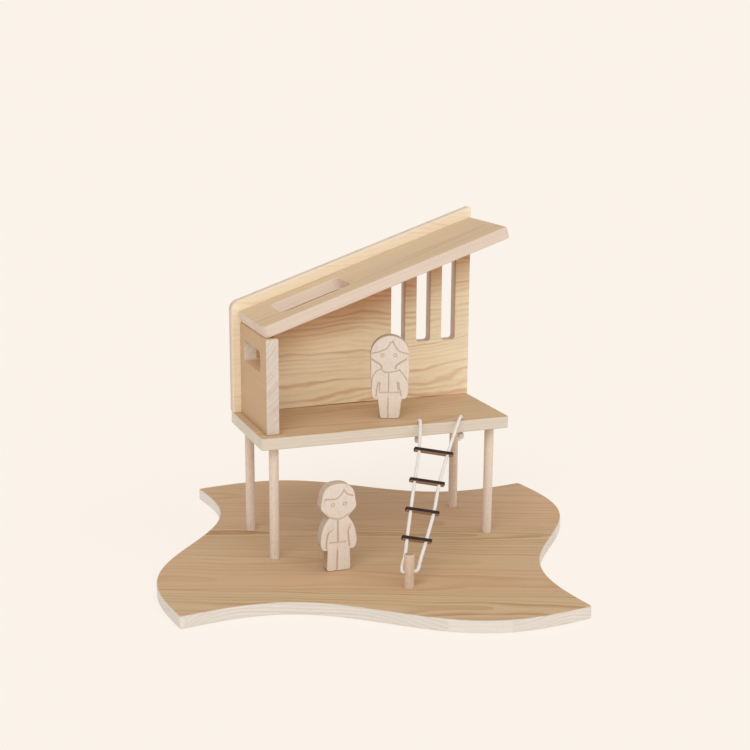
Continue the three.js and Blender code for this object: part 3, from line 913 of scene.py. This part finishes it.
def drill_across(piece, material, height, diameter, way):
    """Drills a hole right through a dowel and leaves no drill behind."""
    drill = bmesh.new()
    bmesh.ops.create_cone(drill, cap_ends=True, segments=32, radius1=diameter / 2 * MM,
                          radius2=diameter / 2 * MM, depth=2 * DOWEL * MM)
    turn = Vector((0, 0, 1)).rotation_difference(way).to_matrix().to_4x4()
    lifted = Matrix.Translation((0, 0, height * MM)) @ turn
    bmesh.ops.transform(drill, matrix=lifted, verts=drill.verts)
    mesh = bpy.data.meshes.new("drill")
    drill.to_mesh(mesh)
    drill.free()
    tool = put_in_scene("drill", mesh)
    tool.matrix_world = piece.matrix_world
    boring = piece.modifiers.new("bore", "BOOLEAN")
    boring.operation = "DIFFERENCE"
    boring.solver = "EXACT"
    boring.object = tool
    bpy.context.view_layer.update()
    evaluated = piece.evaluated_get(bpy.context.evaluated_depsgraph_get())
    bored = bpy.data.meshes.new_from_object(evaluated)
    piece.modifiers.clear()
    old = piece.data
    piece.data = bored
    piece.data.materials.clear()
    piece.data.materials.append(material)
    for face in piece.data.polygons:
        face.material_index = 0
    piece.data.set_sharp_from_angle(angle=math.radians(40))
    bpy.data.meshes.remove(old)
    bpy.data.objects.remove(tool)
    bpy.data.meshes.remove(mesh)


def braided_cord(name, route, diameter, replaces, spacing=0.42, sides=24):
    """A braided cord along a route in house places: two sets of strands pass over and under."""
    strands = 6
    line = catmull(route, spacing)
    run = np.gradient(line, axis=0)
    run /= np.linalg.norm(run, axis=1)[:, None]
    side = np.cross(run[0], (0.3, 0.8, 0.5))
    side /= np.linalg.norm(side)
    gone = travelled(line)
    pitch = math.pi * diameter / strands * 1.1
    points, relief, along_grain = [], [], []
    for i, (middle, way) in enumerate(zip(line, run)):
        side = side - way * (side @ way)
        side /= np.linalg.norm(side)
        up = np.cross(way, side)
        left = min(gone[i], gone[-1] - gone[i])
        taper = min(1.0, math.sqrt(max(0.02, left / (0.4 * diameter))))
        for k in range(sides):
            angle = 2 * math.pi * k / sides
            turns = strands * k / sides
            a = turns + gone[i] / pitch
            b = turns - gone[i] / pitch
            over = (math.floor(a) + math.floor(b)) % 2
            along, beside = (a, b) if over else (b, a)
            crown = math.sin(math.pi * (along % 1.0)) ** 0.7
            crown *= 0.55 + 0.45 * math.sin(math.pi * (beside % 1.0))
            radius = (diameter / 2 * 0.94 + crown * diameter * 0.075) * taper
            points.append(middle + radius * (math.cos(angle) * side + math.sin(angle) * up))
            relief.append(crown)
            along_grain.append((gone[i], radius * math.cos(angle), radius * math.sin(angle)))
    faces = tube(len(line), sides)
    attributes = {"grain_place": np.array(along_grain) * MM, "strand": relief}
    cord = finished(name, points, faces, None, attributes, WHITE_CORD, "house",
                    placed(HOUSE), replaces, sharp=60)
    return cord, line


# ---------------------------------------------------------------- the rope ladder


def add_knot(name, x, y, top, toward, replaces):
    """The cord's end wound twice round itself under the floor, with its loose end hanging."""
    route = [(x, y, top + 0.2), (x, y, top - 3.0), (x, y, top - 6.6)]
    wraps, radius, steps = 2.1, 2.75, 26
    for step in range(steps + 1):
        share = step / steps
        angle = math.pi / 2 * toward + wraps * 2 * math.pi * share
        grow = min(1.0, share * 7)
        route.append((
            x + radius * grow * math.cos(angle),
            y + radius * grow * math.sin(angle),
            top - 8.2 + 6.0 * share,
        ))
    last = route[-1]
    route.append((last[0] + toward * 2.4, last[1] - 0.6, last[2] - 1.6))
    route.append((last[0] + toward * 4.2, last[1] - 0.9, last[2] - 5.2))
    route.append((last[0] + toward * 5.2, last[1] - 0.9, last[2] - 9.0))
    return braided_cord(name, route, KNOTTED_CORD, replaces, spacing=0.35, sides=18)[0]


def add_rope():
    rope, line = braided_cord("ladder_rope_braided", ROPE_ROUTE, CORD, ["ladder_rope"])
    low_end = ROPE_ROUTE[0][2]
    knots = [
        add_knot("left_stopper_knot", *ROPE_HOLES[0], low_end, 1, ["rope_knot_left"]),
        add_knot("right_stopper_knot", *ROPE_HOLES[1], low_end, -1, ["rope_knot_right"]),
    ]


add_camera()
add_rope()


def add_rungs():
    run = Vector((0, PEG["y"] - LADDER_TOP[0], PEG["hole"] - LADDER_TOP[1])).normalized()
    beyond = Vector((1, 0, 0)).cross(run).normalized()
    rope = catmull(ROPE_ROUTE, 0.5)

    def on_ladder(x, down):
        return Vector((x, LADDER_TOP[0] + run.y * down, LADDER_TOP[1] + run.z * down))

    for number, (left, right) in enumerate(RUNGS, 1):
        across = Vector((right[0] - left[0], 0, 0)) + run * (right[1] - left[1])
        span = across.length
        across.normalize()
        rise = across.cross(beyond)
        way = (left[1] + right[1]) / 2
        middle = on_ladder((left[0] + right[0]) / 2, way)
        half = span / 2 + RUNG["overhang"]
        deep = RUNG["depth"] / 2
        corner = RUNG["corner"]
        holes = []
        for x, down in (left, right):
            near = int(np.argmin(np.linalg.norm(rope - np.array(on_ladder(x, down)), axis=1)))
            here = Vector(rope[near]) - middle
            goes = Vector(rope[near + 3] - rope[near - 3])
            lean = (goes.dot(across) / goes.dot(rise), goes.dot(beyond) / goes.dot(rise))
            level = here.dot(rise)
            spot_x = here.dot(across) - lean[0] * level
            spot_y = here.dot(beyond) - lean[1] * level
            hole = ring_outline(spot_x, spot_y, RUNG_HOLE_RADIUS, 24)
            holes.append((hole, None, lean))
        origin = in_house(*(middle - rise * RUNG["thickness"] / 2))
        place = placed(origin, across, beyond)
        eased_board(
            f"rung_{number}", box_outline(-half, -deep, half, deep, [corner] * 4),
            RUNG["thickness"], 0.25, RUNG_PLYWOOD, "house", place,
            [f"ladder_rung_{number}"], holes=holes, steps=2,
        )


def add_peg():
    length = PEG["height"] + SOCKET - SOCKET_PLAY
    foot = (PEG["x"], PEG["y"], PEG["height"] - length)
    hole_height = PEG["hole"] - foot[2]
    turned_dowel("rope_peg", length, foot, PEG_BEECH_PAINTED_SHADE, ["ladder_peg"],
                 bore=(hole_height, PEG["bore"], PEG_BORE_WAY))


# ---------------------------------------------------------------- the tile, legs and house


def add_tile():
    corners = []
    steps = 60
    for side in range(4):
        turn = TILE_TURN + side * math.pi / 2
        along = np.array((math.cos(turn), math.sin(turn)))
        inward = np.array((-along[1], along[0]))
        corner = (along + inward) * -TILE_SIDE / 2
        for step in range(steps):
            share = step / steps
            wave = TILE_WAVE * math.sin(2 * math.pi * share)
            radius = 3.0 if step == 0 else 0.0
            corners.append((*(corner + along * TILE_SIDE * share + inward * wave), radius))
    centre = (TILE_LOW + TILE_HIGH) / 2
    sockets = []
    from_centre = (HOUSE - centre) / MM
    spots = [*stilt_places().values(), (PEG["x"], PEG["y"])]
    for x, y in spots:
        loop = ring_outline(from_centre.x + x, from_centre.y + y, DOWEL / 2 + SOCKET_PLAY, 40)
        sockets.append((loop, SOCKET, (0.0, 0.0)))
    origin = Vector((centre.x, centre.y, TILE_LOW.z))
    eased_board("wavy_tile", cornered(corners), BOARD, 1.0, TILE_PINE, "base",
                placed(origin), ["base_tile"], holes=sockets, grain_turn=TILE_GRAIN_TURN)


def stilt_places():
    x, y = STILT_INSET
    return {
        "stilt_front_left": (x, y),
        "stilt_front_right": (FLOOR_LENGTH - x, y),
        "stilt_back_left": (x, FLOOR_DEPTH - y),
        "stilt_back_right": (FLOOR_LENGTH - x, FLOOR_DEPTH - y),
    }


def add_stilts():
    bottom = -SOCKET + SOCKET_PLAY
    top = FLOOR_TOP - BOARD + SOCKET - SOCKET_PLAY
    for node, (x, y) in stilt_places().items():
        name = node.replace("stilt", "leg")
        turned_dowel(name, top - bottom, (x, y, bottom), DOWEL_BEECH, [node])


def add_floor():
    outline = box_outline(0, 0, FLOOR_LENGTH, FLOOR_DEPTH, [5.0] * 4, 8)
    holes = [through(ring_outline(x, ROPE_HOLE_MIDDLE, ROPE_HOLE_RADIUS)) for x, _ in ROPE_HOLES]
    eased_board("raised_floor", outline, BOARD, 1.0, FLOOR_PINE, "house",
                placed(in_house(0, 0, FLOOR_TOP - BOARD)), ["platform_floor"], holes=holes)


def roof_underside(x):
    """Height of the roof's underside above the floor, at a distance along the house."""
    return ROOF_START[2] + (x - ROOF_START[0]) * math.tan(SLOPE)


def add_back_wall():
    """The lower edge bows up a little in its middle, where a thin gap shows above the floor."""
    rise = math.tan(SLOPE)
    right_top = BACK_WALL_LEFT + FLOOR_LENGTH * rise
    lower_edge = [
        (0.0, 0.0, 1.4), (95.0, 0.0, 0.0), (118.0, 0.35, 0.0), (150.0, 0.75, 0.0),
        (190.0, 0.6, 0.0), (215.0, 0.0, 0.0), (FLOOR_LENGTH, 0.0, 1.4),
    ]
    upper_edge = [(FLOOR_LENGTH, right_top, 2.0), (0.0, BACK_WALL_LEFT, 12.0)]
    outline = cornered(lower_edge + upper_edge, 8)
    holes = []
    for x in SLOT_CENTRES:
        half = SLOT_WIDTH / 2
        top = roof_underside(x - half) - SLOT_TO_ROOF
        holes.append(through(box_outline(x - half, SLOT_BOTTOM, x + half, top, [4.0] * 4)))
    place = placed(in_house(0, FLOOR_DEPTH, FLOOR_TOP + STANDING_GAP), (1, 0, 0), (0, 0, 1))
    eased_board("slotted_back_wall", outline, BOARD, 0.9, WALL_PINE, "house", place,
                ["back_wall"], holes=holes)


def add_end_wall():
    """The end wall's top follows the roof a little, and its inner corner is rounded off."""
    thickness = LEFT_WALL["thickness"]
    depth = WALL_FRONT - STANDING_GAP - LEFT_WALL["y"]
    height = ROOF_START[2] - WALL_TO_ROOF
    outline = box_outline(0, 0, depth, height, [1.3] * 4, 4)
    low, high = WINDOW["low"], WINDOW["high"]
    front = LEFT_WALL["y"]
    window = box_outline(low[0] - front, low[1], high[0] - front, high[1], [5.0] * 4)

    def follow_roof(points):
        top = points[:, 1] > height - INNER_CORNER
        moved = points.copy()
        moved[top, 1] += points[top, 2] * math.tan(SLOPE) * WALL_TOP_FOLLOWS
        inner = np.clip((points[:, 2] - (thickness - INNER_CORNER)) / INNER_CORNER, 0, 1)
        moved[top, 1] -= 2.2 * inner[top] ** 2
        return moved

    start = in_house(LEFT_WALL["x"], front, FLOOR_TOP + STANDING_GAP)
    place = placed(start, (0, 1, 0), (0, 0, 1))
    eased_board("windowed_end_wall", outline, thickness, 0.9, END_WALL_PINE, "house",
                place, ["left_wall"], holes=[through(window)], reshape=follow_roof,
                long_grain_sides=True)


def add_roof():
    depth = WALL_FRONT - ROOF_TO_BACK_WALL - ROOF_START[1]
    outline = box_outline(-ROOF_OVERHANG, 0, ROOF_LENGTH, depth, [6.0, 2.0, 2.0, 1.2], 6)
    skylight = box_outline(*SKYLIGHT, [9.0] * 4, 8)
    start = in_house(ROOF_START[0], ROOF_START[1], FLOOR_TOP + ROOF_START[2])
    place = placed(start, (math.cos(SLOPE), 0, math.sin(SLOPE)), (0, 1, 0))
    eased_board("sloping_roof", outline, BOARD, 1.0, ROOF_PINE, "house", place,
                ["roof_panel"], holes=[through(skylight)])


# ---------------------------------------------------------------- the dolls


def mirrored(half):
    """A whole outline from the half that runs up the right side, from the feet to the crown."""
    half = np.array(half)
    left = half[:-1][::-1] * (-1, 1)
    return np.concatenate([half, left])


def long_hair_outline():
    half = [(9, 0)] + bend((9, 0), (12, 0), (12.4, 3.5)) + [(15.4, 25.5), (18.6, 25.5)]
    half += bend((18.6, 25.5), (22.6, 26.5), (23.4, 34)) + bend((23.4, 34), (24, 42), (22.6, 49))
    half += bend((22.6, 49), (24.4, 51), (24.5, 56)) + [(24.5, 83)]
    angles = np.linspace(0, math.pi / 2, 21)[1:]
    half += [np.array((24.5 * math.cos(a), 83 + 24.5 * math.sin(a))) for a in angles]
    return mirrored([tuple(p) for p in half])


def short_hair_outline():
    half = [(12, 0)] + bend((12, 0), (15, 0), (15.2, 4)) + [(14.4, 26.5), (18, 26.5)]
    half += bend((18, 26.5), (22.6, 28), (23.2, 37)) + bend((23.2, 37), (22.6, 56), (12, 68))
    half += [(18.5, 74.5)] + bend((18.5, 74.5), (25, 80), (21.4, 88))
    half += bend((21.4, 88), (21, 110), (0, 110), 14)
    return mirrored([tuple(p) for p in half])


def eye(x, y, radius=2.0):
    turns = np.linspace(0, 2 * math.pi, 13)
    return [(x + radius * math.cos(turn), y + radius * math.sin(turn)) for turn in turns]


# Half the width and the depth of each kind of engraved line.
LINE = (0.95, 0.5)
RING = (0.75, 0.45)
BROAD = (1.35, 0.55)
HEM = (1.35, 0.34)
PIT = (1.2, 0.6)
FAINT = (0.6, 0.08)


def engraved(lines):
    return [(smooth_line(points), half_width, depth) for points, (half_width, depth) in lines]


def long_hair_lines():
    return engraved([
        ([(-23.6, 84.7), (-12.7, 87.3), (-3.9, 91.8), (1.1, 98.8), (3.2, 100.1)], LINE),
        ([(3.2, 100.1), (6.1, 95), (11.2, 87.9), (20.1, 84.7), (23.4, 83.6)], LINE),
        (eye(-9.6, 82.4), RING), (eye(6.2, 82.4), RING),
        ([(-3.2, 77.4), (-1.6, 76.8), (0.2, 77.4)], FAINT),
        ([(-5.2, 73.6), (-1.6, 72.7), (2.2, 73.6)], FAINT),
        ([(-24, 78.2), (-17.7, 73.7), (-11.3, 69.2), (-10.7, 66.6)], BROAD),
        ([(20.2, 76.9), (12.6, 72.4), (7.6, 68.5), (7, 65.3)], BROAD),
        ([(-11.3, 65.3), (-7.5, 61), (2.6, 60.8), (10.2, 62.7), (12.7, 64)], LINE),
        ([(-11.9, 64.7), (-17.6, 61.4), (-22, 53.6), (-23.8, 47.1)], LINE),
        ([(12.7, 62.7), (17.9, 56.2), (21.1, 51)], LINE),
        ([(-1.7, 58.8), (-1.7, 35.4)], LINE), ([(2.9, 99.0), (3.6, 100.6)], PIT),
        ([(-13.6, 34.2), (-2, 33.8), (11.8, 34.2)], HEM),
        ([(-17.4, 30.2), (-16.2, 40.6), (-14.3, 47.1), (-13.1, 47.1), (-13.6, 36.7)], LINE),
        ([(14.3, 30.2), (13, 36.7), (11.9, 40.6), (11, 47.1), (9.8, 47.1), (10.6, 37.5)], LINE),
        ([(-2.3, 26), (-2.3, 1.6)], LINE),
    ])


def short_hair_lines():
    lines = [
        ([(-17.8, 91.8), (-11.5, 91.1), (-3.9, 91.5), (1.1, 95.5), (4.1, 99.8), (5.2, 102.2)], LINE),
        ([(5.4, 101.5), (8.8, 96.4), (16.2, 93.4)], LINE),
        (eye(-9, 83.7), RING), (eye(6.2, 84.0), RING),
        ([(-3, 79.4), (-1.4, 78.8), (0.4, 79.4)], FAINT),
        ([(-5, 75.4), (-1.4, 74.5), (2.4, 75.4)], FAINT),
        ([(-14.1, 69.4), (-9, 66.9), (-1.4, 65.4), (3.7, 66.7), (8.8, 69.9)], LINE),
        ([(-2.7, 63.6), (-2.7, 36.9)], BROAD),
        ([(-12.9, 36.3), (-2.7, 35.7), (7.5, 36.3)], HEM),
        ([(-17.3, 31.1), (-16.7, 41.2), (-14.8, 48.2), (-14.2, 49.4)], BROAD),
        ([(10.1, 49.4), (10.9, 41.7), (12, 31.3)], BROAD),
        ([(-3.3, 24.2), (-4, 1.6)], BROAD),
        ([(-18.0, 90.6), (-17.4, 90.8)], PIT), ([(16.0, 93.2), (16.6, 93.6)], PIT),
    ]
    return engraved([([(x + 1.6, y) for x, y in points], kind) for points, kind in lines])


def add_doll(name, outline, lines, x, y, z, turn, node):
    """A flat doll: its front face's middle is at x, y, and it is turned about the vertical."""
    turned = Matrix.Rotation(math.radians(turn), 3, "Z")
    back = Vector((x, y, z)) + turned @ Vector((0, BOARD, 0))
    place = placed(in_house(*back), turned @ Vector((1, 0, 0)), (0, 0, 1))
    eased_board(name, outline, BOARD, 0.9, FIGURE_BEECH, node, place, [node],
                grooves=lines, grain_turn=math.pi / 2)


def add_pins():
    for name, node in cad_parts.items():
        if "_pin_" in name:
            node.data.materials.clear()
            node.data.materials.append(PIN_BEECH)


# ---------------------------------------------------------------- stage and light


def add_stage():
    """A plain pale floor that runs out to the horizon."""
    material, bench, shader = new_material("stage_floor")
    spread = bench.noise(bench.add("ShaderNodeTexCoord").outputs["Object"], 3.0, 2.0, 0.5)
    share = bench.ramp(spread.outputs[0], 0.2, 0.8, 0.0, 0.3)
    colour = bench.blend(share, rgb(137, 134, 131), rgb(134, 131, 128))
    bench.join(colour, shader.inputs, "Base Color")
    shader.inputs["Roughness"].default_value = 0.95
    shader.inputs["Specular IOR Level"].default_value = 0.0
    shader.inputs["Emission Color"].default_value = (1.0, 0.928, 0.844, 1.0)
    shader.inputs["Emission Strength"].default_value = 0.732
    mesh = bpy.data.meshes.new("stage_floor")
    reach, below = 9.0, -0.0004
    corners = [(-reach, -reach), (reach, -reach), (reach, reach), (-reach, reach)]
    mesh.from_pydata([(x, y, below) for x, y in corners], [], [(0, 1, 2, 3)])
    floor = put_in_scene("stage_floor", mesh)
    floor.data.materials.append(material)


def add_soft_sun(name, azimuth, elevation, softness, strength, colour):
    """An even soft light, its azimuth measured from the front (-Y) towards the right (+X)."""
    lamp = bpy.data.lights.new(name, "SUN")
    lamp.energy = strength
    lamp.angle = math.radians(softness)
    lamp.color = colour
    holder = put_in_scene(name, lamp)
    around, above = math.radians(azimuth), math.radians(elevation)
    level = math.cos(above)
    out = Vector((math.sin(around) * level, -math.cos(around) * level, math.sin(above)))
    holder.location = out * 3.0
    holder.rotation_euler = out.to_track_quat("Z", "Y").to_euler()


def add_light():
    world = bpy.data.worlds.new("studio")
    world.use_nodes = True
    world.node_tree.nodes.clear()
    bench = Bench(world.node_tree)
    seen = bench.add("ShaderNodeBackground", {"Color": rgb(251, 243, 234), "Strength": 1.0})
    lit = bench.add("ShaderNodeBackground", {"Color": (0.99, 0.965, 0.94, 1.0), "Strength": 0.5})
    path = bench.add("ShaderNodeLightPath")
    feeds = {0: path.outputs["Is Camera Ray"], 1: lit.outputs[0], 2: seen.outputs[0]}
    both = bench.add("ShaderNodeMixShader", feeds)
    end = bench.add("ShaderNodeOutputWorld")
    bench.join(both.outputs[0], end.inputs, 0)
    bpy.context.scene.world = world
    add_soft_sun("front_left_light", -35.0, 48.0, 40.0, 0.95, (1.0, 0.99, 0.98))
    add_soft_sun("front_right_light", 35.0, 38.0, 60.0, 0.6, (1.0, 0.985, 0.965))
    add_soft_sun("top_light", 180.0, 70.0, 60.0, 0.35, (1.0, 0.99, 0.98))


# ---------------------------------------------------------------- putting it together


add_rungs()
add_peg()
add_tile()
add_stilts()
add_floor()
add_back_wall()
add_end_wall()
add_roof()
add_doll("long_hair_doll", long_hair_outline(), long_hair_lines(), 180.2, 39.6, FLOOR_TOP + 0.3, -19.0,
         "long_hair_figure")
add_doll("short_hair_doll", short_hair_outline(), short_hair_lines(), 80.4, -52.0, 0.3, 0.0,
         "short_hair_figure")
add_pins()
add_stage()
add_light()
bpy.context.scene.view_settings.view_transform = "Standard"
